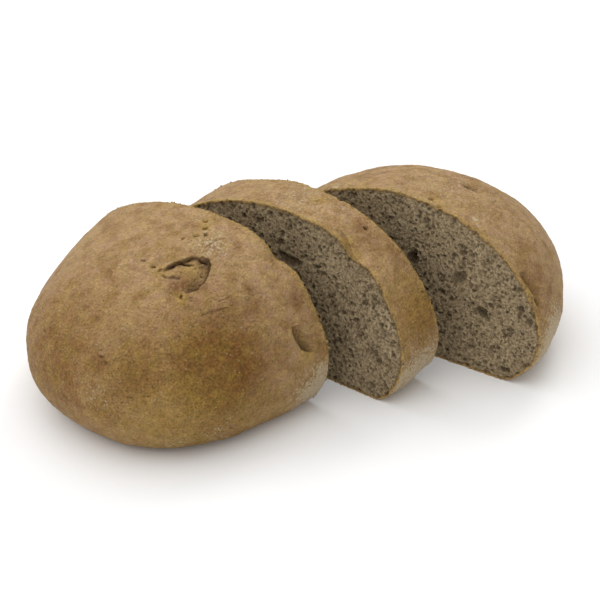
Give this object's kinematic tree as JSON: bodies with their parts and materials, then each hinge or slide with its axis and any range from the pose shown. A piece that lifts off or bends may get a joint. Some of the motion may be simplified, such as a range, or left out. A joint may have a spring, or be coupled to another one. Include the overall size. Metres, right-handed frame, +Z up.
{
  "type": "mixed rye bread",
  "caption": "Round-topped mixed rye loaf cut across, with both heels and the slice between them drawn apart and standing in a row.",
  "frame": {"origin": "on the surface that the bread stands on, under the middle of the three pieces' common box", "axes": "+Z up; +X along the loaf from the left heel to the right one, so the cut faces look along X; the slice and the right heel are drawn towards -Y"},
  "size_m": [0.2341, 0.2104, 0.0802],
  "materials": {
    "crust": "matt floured tan crust over grey-brown rye crumb; cardboard stands for the dry, light, matt material, as the list has no food"
  },
  "bodies": {
    "root": {"left_heel": "crust", "middle_slice": "crust", "right_heel": "crust"}
  },
  "joints": []
}
